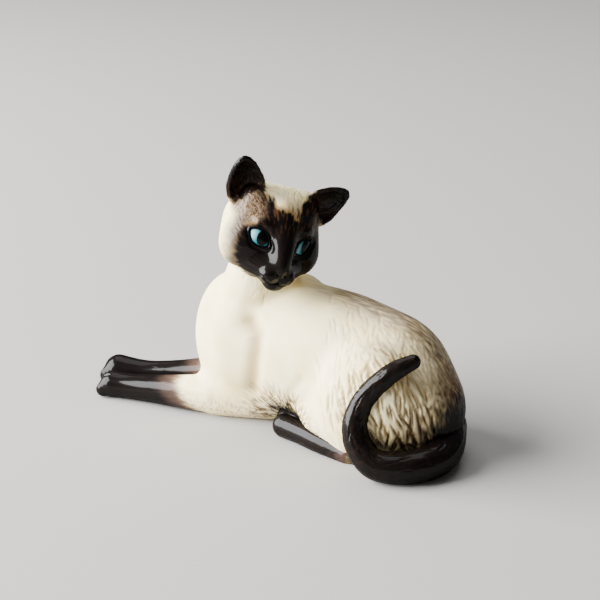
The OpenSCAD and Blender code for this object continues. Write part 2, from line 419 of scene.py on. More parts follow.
class Fur:
    """Short hairs cut into the clay with a pointed tool, stroke by stroke."""

    shortest, longest = 0.6, 1.15
    bend = 0.12
    burr = 0.35
    lightest = 0.6

    def __init__(self, clay: Clay, seed: int) -> None:
        """Learns the clay's surface.

        Args:
            clay: the piece to cut.
            seed: the number that fixes where the strokes fall.
        """
        self.clay = clay
        self.points = clay.points()
        self.normals = clay.normals()
        self.tree = KDTree(len(self.points))
        for index, point in enumerate(self.points):
            self.tree.insert(point, index)
        self.tree.balance()
        self.random = np.random.default_rng(seed)
        self.relief = np.zeros(len(self.points))

    def comb(self, where: np.ndarray, flow: Callable[[np.ndarray], np.ndarray], strokes: Strokes) -> None:
        """Cuts many strokes.

        Args:
            where: how likely a stroke starts at each vertex.
            flow: the way the coat lies at a place.
            strokes: how many they are and how large.
        """
        width, depth = strokes.half_width, strokes.depth
        starts = self.random.choice(len(self.points), size=strokes.count, p=where / where.sum())
        for start in starts:
            point, normal = self.points[start], self.normals[start]
            way = np.array(flow(point)) + self.random.normal(0.0, strokes.stray, 3)
            way -= normal * (way @ normal)
            way /= max(np.linalg.norm(way), 1e-9)
            reach = strokes.length * self.random.uniform(self.shortest, self.longest)
            side = np.cross(normal, way) * self.random.normal(0.0, self.bend) * reach
            a, b = point - way * reach / 2, point + way * reach / 2 + side
            near = np.array([hit[1] for hit in self.tree.find_range(point, reach / 2 + width * 3)])
            gap, t = segment_distance(self.points[near], a, b)
            taper = np.sin(np.pi * np.clip(0.08 + t * 0.92, 0.0, 1.0)) ** 0.6
            groove = np.exp(-(gap / (width * (0.35 + 0.65 * taper))) ** 2) * taper
            lip = np.exp(-((gap - width * 1.5) / (width * 0.7)) ** 2) * taper
            cut = depth * (self.burr * lip - groove) * self.random.uniform(self.lightest, 1.0)
            self.relief[near] = np.where(cut < 0, np.minimum(self.relief[near], cut),
                                         np.maximum(self.relief[near], self.relief[near] + cut * 0.5))

    def press(self, limit: float) -> np.ndarray:
        """Moves the surface by what the strokes cut.

        Args:
            limit: the deepest that the surface may go either way.

        Returns:
            The relief at each vertex.
        """
        relief = np.clip(self.relief, -limit, limit * 0.6)
        self.clay.set_points(self.points + self.normals * relief[:, None])
        return relief


# ---------------------------------------------------------------- the cat's forms, in millimetres

BODY_FRONT_X = -51.0
FAR_HAUNCH_SIDE = 36.0


@dataclass
class Trunk:
    """Breast, ribs, loin, hips and haunches, drawn from a few eggs of clay."""

    skin_grain: float = 2.0
    strokes: int = 16

    breast: Lump = Lump((-26, 8, 38), (22, 19, 33.5))
    ribs: Lump = Lump((0, 8, 38), (42, 25, 33))
    loin: Lump = Lump((28, 6, 36), (37, 27, 33.5))
    hips: Lump = Lump((53, 4, 31), (34, 26, 33.5), (0, 0, -4))
    rump: Lump = Lump((69.5, 0, 22), (24, 24.5, 26))
    thigh: Lump = Lump((36, -12.5, 16), (20.5, 12.5, 13.5), (0, 0, -10))
    near_haunch: Lump = Lump((52, -10, 26), (30, 23, 31), (0, 0, -10))
    far_haunch: Lump = Lump((48, 18, 22), (31, 18, 24), (0, 0, 4))
    near_shoulder: Lump = Lump((-18, -1, 40), (20, 14.5, 29))
    far_shoulder: Lump = Lump((-16, 19, 40), (20, 14.5, 30))
    blade: Lump = Lump((4, 18, 61), (11, 8, 11))
    near_elbow: Lump = Lump((-34, -1.2, 9), (17, 10.8, 11))
    far_elbow: Lump = Lump((-34, 18, 11), (15, 9, 12))
    belly: Lump = Lump((-8, 9, 12), (34, 14, 14))

    def build(self) -> Clay:
        """Shapes the trunk.

        Returns:
            One kneaded piece.
        """
        skins = [(self.breast, self.ribs), (self.ribs, self.loin), (self.loin, self.hips),
                 (self.hips, self.rump), (self.far_haunch, self.rump), (self.near_elbow, self.belly)]
        trunk = Clay("trunk").add_lumps([
            self.near_haunch, self.thigh, self.near_shoulder, self.far_shoulder, self.blade, self.far_elbow])
        trunk.join(*[Clay("skin").add_lumps(pair).wrap() for pair in skins])
        return trunk.knead(self.skin_grain, self.strokes)


@dataclass
class Limbs:
    """The forelegs and hind feet as tapering rolls with toes."""

    near_leg: Sequence[Row] = ((-34, -2.5, 9.5, 9.4), (-50, -4, 8, 8.5), (-66, -5.5, 7, 7.2),
                               (-80, -7, 6.2, 6.5), (-89, -8, 6.2, 6.9))
    far_leg: Sequence[Row] = ((-34, 18, 13, 9), (-50, 15, 11, 7.8), (-66, 12, 9, 6.5),
                              (-81, 9, 7.4, 6.5), (-95, 6.5, 7.6, 7.7))
    near_hind: Sequence[Row] = ((47, -22, 3, 5), (31, -18.5, 4.4, 5.4), (19, -14.5, 5.0, 5.6),
                                (9, -11.5, 5.2, 5.9))
    far_hind: Sequence[Row] = ((24, -5, 6, 6.4), (14, -6, 6.2, 6.4), (8, -6, 6.4, 5.8))
    toe_radii: Point = (0.52, 0.30, 0.56)
    toe_reach: float = 0.78
    toe_swing: float = 0.16
    toe_gap: float = 0.50
    toe_sink: float = 0.30
    skin_grain: float = 0.6
    strokes: int = 5

    def toes(self, middle: Point, size: float) -> list[Lump]:
        """Four toes round the front of a paw.

        Args:
            middle: the paw's middle.
            size: the paw's radius.

        Returns:
            The toes as eggs.
        """
        toes = []
        for step in (-1.5, -0.5, 0.5, 1.5):
            x = middle[0] - size * (self.toe_reach - abs(step) * self.toe_swing)
            y = middle[1] + step * size * self.toe_gap
            radii = tuple(size * share for share in self.toe_radii)
            toes.append(Lump((x, y, middle[2] - size * self.toe_sink), radii))
        return toes

    def build_hind_foot(self, name: str, row: Sequence[Row]) -> Clay:
        """One hind foot as a kneaded roll, under its name and along its row."""
        return Clay(name).add_roll(row).knead(self.skin_grain, self.strokes)


@dataclass
class Tail:
    """The tail, from the rump along the table and up over the near haunch."""

    skin_grain: float = 0.6
    strokes: int = 6
    row: Sequence[Row] = ((82, 9, 12, 9.6), (87.5, -6, 9, 9.0), (88, -17, 7.8, 8.2), (83, -27, 7.4, 7.7),
                          (75, -33, 7.2, 7.4), (66, -36, 8.5, 7.0), (58.5, -35.5, 15, 6.4),
                          (55.5, -33.5, 25, 5.8), (58.5, -30, 36, 5.2), (64.5, -27, 44, 4.8),
                          (70.5, -23, 49.3, 4.4), (76.3, -19, 52.6, 3.5))

    def build(self) -> Clay:
        """The tail as one kneaded roll."""
        return Clay("cat_tail").add_roll(self.row, 8).knead(self.skin_grain, self.strokes)


@dataclass(frozen=True)
class Ear:
    """One ear: the middle of its root, its tip, which way its root runs, and half its width."""

    root: Point
    tip: Point
    along: Point
    half: float = 10.2
    shell: float = 2.3
    buried: float = 0.26
    scoop: float = 5.2
    lean: float = 1.6
    forward: float = 2.6
    waist: float = 0.78
    steps: int = 22
    across: int = 16

    def axes(self) -> tuple[Vector, Vector, Vector, Vector, float]:
        """Finds the ear's own directions.

        Returns:
            The root, the width, the front and the height direction, and the height.
        """
        root, tip = Vector(self.root), Vector(self.tip)
        up = (tip - root).normalized()
        along = Vector(self.along)
        wide = (along - up * along.dot(up)).normalized()
        front = wide.cross(up).normalized()
        if front.y > 0:
            front = -front
        return root, wide, front, up, (tip - root).length

    def build(self) -> Clay:
        """Shapes the ear as a scooped shell with a rounded tip.

        Returns:
            The shell.
        """
        root, wide, front, up, height = self.axes()
        steps, across = self.steps, self.across
        grid = []
        for i in range(steps + 1):
            rise = (1.0 + self.buried) * i / steps - self.buried
            waist = self.waist + (1.0 - self.waist) * min(max(rise / 0.3, 0.0), 1.0) + 1.6 * min(rise, 0.0)
            half = self.half * max(1.0 - max(rise, 0.0), 0.0) ** 0.53 * waist + 0.3
            for j in range(across + 1):
                s = 2.0 * j / across - 1.0
                scoop = self.scoop * max(1.0 - rise, 0.0) ** 0.8 * (1.0 - s * s)
                lean = self.lean * math.sin(math.pi * max(rise, 0.0))
                ahead = self.forward - scoop - lean
                grid.append(root + wide * (half * s) + up * (height * rise) + front * ahead)
        faces = [(i * (across + 1) + j, i * (across + 1) + j + 1,
                  (i + 1) * (across + 1) + j + 1, (i + 1) * (across + 1) + j)
                 for i in range(steps) for j in range(across)]
        ear = Clay("ear")
        ear.mesh.from_pydata(grid, [], faces)
        return ear.apply("SOLIDIFY", thickness=self.shell, offset=0.0)


@dataclass
class Head:
    """Skull, face and ears, drawn about the middle of the skull with the face towards -Y."""

    at: Point = (-3.7, -1.5, 93.6)
    turn: float = 47.0
    lift: float = 3.0
    tip: float = 17.5
    skull: Lump = Lump((0, 4, 4), (22.3, 21.5, 19.4))
    poll: Lump = Lump((12.2, 2.5, 17), (7.5, 8.5, 7.0))
    cheek: Lump = Lump((13.2, -3, -4), (11.2, 12, 11.8))
    nape: Lump = Lump((0, 9, -8), (15, 14, 13))
    jaw: Lump = Lump((7.5, -9, -9.5), (8.5, 9, 7))
    brow: Lump = Lump((8.0, -10.2, 9.0), (7.5, 6.5, 4.5))
    cheekbone: Lump = Lump((12.0, -10.2, -2.8), (6.5, 6.0, 4.5))
    muzzle: Lump = Lump((0, -18.0, -9.8), (8.0, 7.5, 7.2))
    pad: Lump = Lump((3.7, -21.0, -11.6), (4.8, 4.4, 4.2))
    chin: Lump = Lump((0, -19.3, -16.0), (5.6, 4.8, 3.8))
    bridge: Sequence[Row] = ((0, -8, 11, 9.8), (0, -15.5, 3.5, 6.8), (0, -20.5, -2.5, 5.1),
                             (0, -23.6, -7.2, 3.7))
    ear_left: Ear = Ear((17.7, 1.5, 15.7), (29.3, -2.5, 29.9), (0.58, 0.14, -0.81))
    ear_right: Ear = Ear((-16.7, 1.5, 16.7), (-25.1, -2.5, 35.4), (-0.94, 0.14, -0.31))

    @property
    def place(self) -> Matrix:
        """Turns the head about its middle and sets it on the neck."""
        turns = (Matrix.Rotation(math.radians(self.turn), 4, "Z")
                 @ Matrix.Rotation(math.radians(self.lift), 4, "X")
                 @ Matrix.Rotation(math.radians(self.tip), 4, "Y"))
        return Matrix.Translation(self.at) @ turns

    def both(self, lump: Lump) -> list[Lump]:
        """Mirrors a lump.

        Args:
            lump: the one on the cat's left.

        Returns:
            The lump and its twin on the right.
        """
        x, y, z = lump.at
        a, b, c = lump.turn
        return [lump, Lump((-x, y, z), lump.radii, (a, -b, -c))]

    def build_skull(self) -> Clay:
        """Shapes the skull, the nape and the wedge of the face.

        Returns:
            The rough head in its place.
        """
        head = Clay("skull").add_lumps(
            [self.nape, *self.both(self.brow), *self.both(self.cheekbone), self.chin])
        crown = [self.skull, *self.both(self.cheek), *self.both(self.poll)]
        head.join(Clay("skin").add_lumps(crown).wrap())
        head.join(Clay("skin").add_lumps([self.muzzle, *self.both(self.jaw)]).wrap())
        head.add_roll(self.bridge)
        head.mesh.transform(self.place)
        return head

    def build_face(self) -> Clay:
        """The whisker pads."""
        face = Clay("face").add_lumps([*self.both(self.pad)])
        face.mesh.transform(self.place)
        return face

    def ear(self, side: Side) -> Ear:
        """The ear of one side."""
        return self.ear_left if side is Side.LEFT else self.ear_right

    def build_ear(self, side: Side) -> Clay:
        """Shapes one ear.

        Args:
            side: which one.

        Returns:
            The ear in its place.
        """
        ear = self.ear(side).build()
        ear.mesh.transform(self.place)
        return ear


def linear(code: str) -> tuple[float, float, float, float]:
    """Turns an sRGB hex colour into the linear one that the shader mixes.

    Args:
        code: the colour, such as #ffffff.

    Returns:
        Red, green, blue and an alpha of 1.
    """
    parts = [int(code[i:i + 2], 16) / 255 for i in (1, 3, 5)]
    return (*[c / 12.92 if c <= 0.04045 else ((c + 0.055) / 1.055) ** 2.4 for c in parts], 1.0)


@dataclass(frozen=True)
class Palette:
    """The underglaze colours, as they look through the glaze.

    Ivory and cream are the ground, tan and taupe the first breath of the points, umber, mauve and seal the
    points from their soft edge to their middle, black the drawn lines, teal the eyes. Tan, taupe, umber,
    mauve and black also lay painted shade in the folds, in the fur's grooves and on the back turned from the
    light, and the pale blue of the eyes is a painted reflection across the iris.
    """

    ivory: str = "#f8eabb"
    cream: str = "#edd28a"
    tan: str = "#9c7746"
    umber: str = "#4b3019"
    seal: str = "#0b0706"
    black: str = "#030202"
    mauve: str = "#45362f"
    taupe: str = "#84705a"
    teal: str = "#1d6a76"
    # a pale blue that paints the reflection of a light across one side of the iris
    iris_reflection: str = "#8bc2cb"

    def mix(self, name: str) -> np.ndarray:
        """One colour as linear red, green and blue."""
        return np.array(linear(getattr(self, name))[:3])


@dataclass(frozen=True)
class Eye:
    """An eye set in the face: its middle, the way it looks and its slant, about the head's own middle."""

    side: Side
    at: Point
    look: Point
    pupil: Point
    slant: float = 27.0
    half_long: float = 5.1
    half_high: float = 3.3
    ball_rise: float = 1.15
    lid_rise: float = 0.55
    lid_crease: float = 0.50
    pupil_wide: float = 2.45
    pupil_high: float = 3.3
    flecks: float = 23.0

    def spread(self, points: np.ndarray) -> tuple[np.ndarray, np.ndarray, np.ndarray]:
        """Places points about the eye.

        Args:
            points: places about the head's own middle.

        Returns:
            How far each lies along the eye, across it and in front of it.
        """
        out = Vector(self.look).normalized()
        level = Vector((self.side.value, 0.0, math.tan(math.radians(self.slant))))
        along = (level - out * level.dot(out)).normalized()
        across = out.cross(along) * -self.side.value
        if across.z < 0:
            across = -across
        gap = points - np.array(self.at)
        return gap @ np.array(along), gap @ np.array(across), gap @ np.array(out)

    def almond(self, a: np.ndarray, b: np.ndarray) -> np.ndarray:
        """Measures places against the opening of the lids.

        Args:
            a: how far they lie along the eye.
            b: how far they lie across it.

        Returns:
            1 on the rim, less inside and more outside.
        """
        narrow = self.half_high * (1.0 - 0.30 * np.clip(a / self.half_long, -1.0, 1.0) ** 2)
        return np.sqrt((a / self.half_long) ** 2 + (b / narrow) ** 2)

    def sculpt(self, points: np.ndarray) -> np.ndarray:
        """Sets the eyeball and its lids into the face.

        Args:
            points: the head's vertices about its own middle.

        Returns:
            The moved vertices.
        """
        a, b, h = self.spread(points)
        r = self.almond(a, b)
        near = (h > -7.0) & (r < 2.0)
        ball = np.where(r < 1.0, self.ball_rise * (1.0 - r ** 2), 0.0)
        lid = self.lid_rise * np.exp(-((r - 1.20) / 0.13) ** 2)
        lid -= self.lid_crease * np.exp(-((r - 1.02) / 0.075) ** 2)
        share = np.where(near, ramp(1.9, 1.25, r), 0.0)
        out = np.array(Vector(self.look).normalized())
        return points + out * ((ball + lid - h) * share)[:, None]

    def paint(self, points: np.ndarray, colours: np.ndarray, palette: Palette) -> np.ndarray:
        """Enamels the iris, the pupil and the dark rims, and paints a pale reflection across one side of the
        iris.

        Args:
            points: the head's vertices about its own middle.
            colours: the colours so far.
            palette: the underglaze colours.

        Returns:
            The new colours.
        """
        a, b, h = self.spread(points)
        front = h > -4.0
        r = self.almond(a, b)
        x = points[:, 0] - self.at[0] - self.pupil[0]
        z = points[:, 2] - self.at[2] - self.pupil[2]
        slit = np.sqrt((x / self.pupil_wide) ** 2 + (z / self.pupil_high) ** 2)
        # painted reflection: the iris turns pale blue towards one side, where a light would mirror in the eye
        iris = blend(palette.mix("iris_reflection"), palette.mix("teal"), ramp(-5.0, -1.5, x - z * 0.25))
        iris = blend(iris, iris * 0.35, ramp(0.78, 1.0, r))
        fleck = 0.5 + 0.5 * np.sin(np.arctan2(z, x) * self.flecks)
        iris = iris * (0.88 + 0.12 * fleck)[:, None]
        rimmed = blend(colours, palette.mix("black"), np.where(front, ramp(1.42, 1.18, r), 0.0))
        eye = blend(iris, palette.mix("black"), ramp(1.04, 0.94, slit))
        return blend(rimmed, eye, np.where(front, ramp(1.0, 0.95, r), 0.0))


@dataclass
class FacePainter:
    """Sculpts and sprays the head and the ears, all about the head's own middle, in millimetres."""

    head: Head
    palette: Palette = Palette()
    eyes: tuple[Eye, Eye] = (
        Eye(Side.LEFT, (10.9, -14.6, 2.0), (0.50, -0.86, 0.14), (0.9, 0.0, 0.2)),
        Eye(Side.RIGHT, (-11.2, -14.6, 2.5), (-0.46, -0.88, 0.14), (1.0, 0.0, 0.1)))
    nose_line: Sequence[tuple[float, float]] = (
        (-2.9, -8.6), (-1.9, -10.6), (0, -11.9), (1.9, -10.6), (2.9, -8.6))
    mouth_line: Sequence[tuple[float, float]] = (
        (-7.8, -12.6), (-5.4, -14.6), (-2.6, -15.4), (0, -14.2), (2.6, -15.4), (5.4, -14.6), (7.8, -12.6))
    parting_line: Sequence[tuple[float, float]] = ((0, -11.9), (0, -14.4))
    nostril_at: tuple[float, float] = (1.8, -10.0)
    eye_reach: float = 7.5
    seed: int = 5
    hairs: Strokes = Strokes(420, 4.5, 0.34, 0.16)
    deepest: float = 0.2
    ear_seed: int = 11
    ear_hairs: Strokes = Strokes(110, 6.0, 0.42, 0.24, 0.3)
    ear_deepest: float = 0.28
    mask_half_right: float = 21.5
    mask_half_left: float = 25.0
    mask_half_high: float = 19.0
    haze_half_high: float = 22.5
    brow_z: float = 18.0
    ear_patch_right: Point = (-17.5, -4.0, 14.5)
    ear_patch_left: Point = (18.0, -4.0, 12.0)

    def local(self, points: np.ndarray) -> np.ndarray:
        """Places from the bench about the head's own middle."""
        back = np.array(self.head.place.inverted())
        return points @ back[:3, :3].T + back[:3, 3]

    def bench(self, points: np.ndarray) -> np.ndarray:
        """Places about the head's own middle, back on the bench."""
        place = np.array(self.head.place)
        return points @ place[:3, :3].T + place[:3, 3]

    def eye_gap(self, q: np.ndarray) -> np.ndarray:
        """How far places about the head's middle lie from the nearer eye."""
        return np.min([np.linalg.norm(q - np.array(eye.at), axis=1) for eye in self.eyes], axis=0)

    def dress_head(self, clay: Clay) -> None:
        """Cuts the eyes, nose, mouth and fur into the head and sprays its mask.

        Args:
            clay: the head.
        """
        clay.refine(lambda p: (self.local(p)[:, 1] < 4.0) & (self.local(p)[:, 2] > -22.0))
        clay.refine(lambda p: self.eye_gap(self.local(p)) < self.eye_reach)
        points = self.local(clay.points())
        for eye in self.eyes:
            points = eye.sculpt(points)
        clay.set_points(self.bench(points))
        dent = self.cut_nose_and_mouth(clay)
        relief = self.comb_head(clay)
        self.spray_head(clay, dent, relief)

    def cut_nose_and_mouth(self, clay: Clay) -> np.ndarray:
        """Draws the nose, the nostrils, the parting under them and the mouth.

        Args:
            clay: the head.

        Returns:
            How deep the lines are cut at each vertex.
        """
        points = self.local(clay.points())
        flat = points[:, [0, 2]]
        nose = line_distance(flat, self.nose_line)
        mouth = line_distance(flat, self.mouth_line)
        parting = line_distance(flat, self.parting_line)
        out, up = self.nostril_at
        nostril = np.minimum(np.hypot(flat[:, 0] - out, (flat[:, 1] - up) * 1.4),
                             np.hypot(flat[:, 0] + out, (flat[:, 1] - up) * 1.4))
        dent = 0.28 * np.exp(-(nose / 0.35) ** 2) + 0.62 * np.exp(-(mouth / 0.48) ** 2)
        dent += 0.45 * np.exp(-(parting / 0.40) ** 2) + 0.55 * np.exp(-(nostril / 0.62) ** 2)
        dent *= ramp(-8.0, -14.0, points[:, 1])
        clay.set_points(clay.points() - clay.normals() * dent[:, None])
        return dent

    def comb_head(self, clay: Clay) -> np.ndarray:
        """Cuts the hairs of cheeks and brow, which run back from the nose.

        Args:
            clay: the head.

        Returns:
            How far the strokes moved each vertex.
        """
        fur = Fur(clay, self.seed)
        q = self.local(fur.points)
        hairy = ramp(-12.0, -4.0, q[:, 1]) * ramp(-26.0, -14.0, q[:, 2]) + 0.002
        hairy = hairy * ramp(7.0, 9.0, self.eye_gap(q))
        turn = np.array(self.head.place.to_3x3())

        def flow(point: np.ndarray) -> np.ndarray:
            """The way the coat lies at a place."""
            x, _y, z = self.local(point[None])[0]
            return turn @ np.array([x * 0.9, 6.0, (z + 8.0) * 0.9])

        fur.comb(hairy, flow, self.hairs)
        return fur.press(self.deepest)

    def mask_share(self, q: np.ndarray, streak: np.ndarray) -> np.ndarray:
        """How far each place belongs to the dark mask.

        Args:
            q: places about the head's middle.
            streak: the streaks that fray its edge.

        Returns:
            A share from 0 to 1.
        """
        x, y, z = q.T
        side = np.where(x < 0, self.mask_half_right, self.mask_half_left)
        ring = np.sqrt((x / side) ** 2 + ((z + 2.0) / self.mask_half_high) ** 2)
        lower = ramp(1.05, 0.84, ring + 0.05 * streak) * ramp(6.0, -2.0, y + 2.0 * streak)
        brow = self.brow_z + 0.035 * x ** 2 - 4.0 * ramp(5.0, 0.0, np.abs(x - 3.5))
        upper = ramp(1.5, -2.5, z - brow + 2.6 * streak) * ramp(4.0, -3.0, y)
        upper = upper * ramp(17.5, 12.0, np.where(x < 0, -x, x * 0.72) + streak)
        return np.where(z > 4.0, np.maximum(upper, lower * ramp(9.0, 4.0, z)), lower)

    def haze_share(self, q: np.ndarray, cloud: np.ndarray) -> np.ndarray:
        """How far the soft mauve round the mask reaches.

        Args:
            q: places about the head's middle.
            cloud: what makes its edge uneven.

        Returns:
            A share from 0 to 1.
        """
        x, y, z = q.T
        side = np.where(x < 0, self.mask_half_right, self.mask_half_left)
        ring = np.sqrt((x / side) ** 2 + (z / self.haze_half_high) ** 2)
        behind = np.where(x < 0, ramp(2.0, -7.5, y), ramp(7.0, -3.0, y))
        return ramp(1.28, 0.98, ring + 0.04 * cloud) * behind * ramp(16.0, 8.0, z)

    def coat(self, q: np.ndarray) -> tuple[np.ndarray, np.ndarray]:
        """The sprayed colours of mask, crown and cheeks.

        Args:
            q: places about the head's middle.

        Returns:
            The colours, and how far each place belongs to the mask.
        """
        mix = self.palette.mix
        x, y, z = q.T
        angle, reach = np.arctan2(x, z + 9.0), np.hypot(x, z + 9.0)
        streak = grain(np.stack([angle * 13.0, y * 0.4, reach], 1), (0.75, 3.0, 4.6))
        cloud = grain(q, (5.0, 5.0, 5.0), 2, 7.0)
        mask = self.mask_share(q, streak)
        colours = blend(mix("ivory"), mix("cream"), ramp(-0.3, 0.6, cloud) * 0.6)
        colours = blend(colours, mix("mauve"), self.haze_share(q, cloud) * 0.95)
        lock = ramp(23.0, 16.0, z) * ramp(8.5, 3.0, np.abs(x - 2.5)) * ramp(2.0, -4.0, y)
        colours = blend(colours, mix("tan"), lock * 0.8)
        colours = blend(colours, mix("umber"), lock * ramp(-0.1, 0.35, streak) * 0.9)
        edge = ramp(0.02, 0.35, mask) * ramp(0.95, 0.5, mask) * ramp(4.0, 9.0, z)
        colours = blend(colours, mix("tan"), np.clip(edge * (0.6 + 0.5 * streak), 0.0, 1.0))
        brown = np.clip(ramp(0.0, 0.5, streak) * (0.06 + 0.55 * ramp(5.0, 13.0, z)), 0.0, 0.8)
        dark = blend(mix("seal"), mix("umber"), brown)
        colours = blend(colours, dark, ramp(0.15, 0.95, mask))
        colours = self.spray_patch(colours, q, self.ear_patch_right, 10.5, 0.95)
        colours = self.spray_patch(colours, q, self.ear_patch_left, 6.0, 0.45)
        return colours, mask

    def spray_patch(self, colours: np.ndarray, q: np.ndarray, middle: Point, size: float,
                    strength: float) -> np.ndarray:
        """Sprays the thin, hairy patch in front of an ear.

        Args:
            colours: the colours so far.
            q: places about the head's middle.
            middle: the patch's middle.
            size: how far it reaches.
            strength: how thick the spray lies.

        Returns:
            The new colours.
        """
        hairline = grain(q, (0.35, 0.9, 1.6), 2, 5.0)
        taupe, umber = self.palette.mix("taupe") * 0.75, self.palette.mix("umber") * 0.6
        fleece = blend(taupe, umber, ramp(-0.1, 0.3, hairline))
        reach = np.linalg.norm((q - np.array(middle)) * (1.0, 0.6, 1.1), axis=1)
        return blend(colours, fleece, ramp(size, size * 0.5, reach) * strength)

    def spray_head(self, clay: Clay, dent: np.ndarray, relief: np.ndarray) -> None:
        """Sprays the head, then enamels the eyes.

        Args:
            clay: the head.
            dent: how deep the lines of nose and mouth are cut at each vertex.
            relief: how the fur strokes moved each vertex.
        """
        mix = self.palette.mix
        q = self.local(clay.points())
        colours, mask = self.coat(q)
        streak = grain(q, (1.2, 1.2, 3.0))
        colours = blend(colours, mix("black"), np.clip(dent * 1.2, 0.0, 0.85))
        # painted shade: the fur's grooves outside the mask are darkened
        colours = colours * (1.0 - np.clip(-relief * 1.6, 0.0, 0.35) * (1.0 - mask))[:, None]
        throat = ramp(-15.0, -22.0, q[:, 2]) * ramp(4.0, -6.0, q[:, 1])
        tips = np.clip(throat * ramp(0.15, 0.6, streak), 0.0, 0.6)
        colours = blend(colours, mix("tan"), tips * (1.0 - mask))
        for eye in self.eyes:
            colours = eye.paint(q, colours, self.palette)
        clay.paint("spray", colours)

    def dress_ear(self, clay: Clay, side: Side) -> None:
        """Combs the ear's lining and sprays it nearly black down to the skull.

        Args:
            clay: the ear.
            side: which ear it is.
        """
        mix = self.palette.mix
        root, wide, front, up, height = (np.array(part) for part in self.head.ear(side).axes())
        clay.refine(lambda p: np.ones(len(p), dtype=bool))
        turn = np.array(self.head.place.to_3x3())
        fur = Fur(clay, self.ear_seed + side.value)
        q = self.local(fur.points)
        facing = (fur.normals @ turn) @ front
        inside = ramp(0.1, 0.6, facing) + 1e-4
        way = turn @ (up * 0.9 + wide * 0.35)
        fur.comb(inside, lambda point: way, self.ear_hairs)
        relief = fur.press(self.ear_deepest)
        rise, ahead, inward = (q - root) @ up / height, (q - root) @ front, (q - root) @ -wide
        streak = grain(q, (0.9, 0.9, 4.0), 2, 3.0)
        colours = np.tile(mix("seal"), (len(q), 1))
        lining = inside * ramp(0.75, 0.1, rise + 0.2 * streak)
        colours = blend(colours, mix("umber"), np.clip(lining * (0.22 + 0.4 * streak), 0.0, 0.5))
        # painted shade: the lining's fur grooves are drawn towards black
        colours = blend(colours, mix("black"), np.clip(-relief * 3.0, 0.0, 0.8))
        back = ramp(0.0, -0.6, facing) * ramp(0.16, -0.02, rise + 0.08 * streak)
        colours = blend(colours, mix("cream"), back * 0.9)
        # the skull that the ear grows from keeps the colours of the crown
        skull = np.maximum.reduce([
            ramp(3.6, 5.2, ahead + 0.6 * streak) * ramp(0.5, 0.3, rise),
            ramp(0.06, -0.03, rise + 0.04 * streak) * inside,
            ramp(7.8, 9.6, inward + 0.8 * streak) * ramp(0.40, 0.24, rise)])
        clay.paint("spray", blend(colours, self.coat(q)[0], skull))


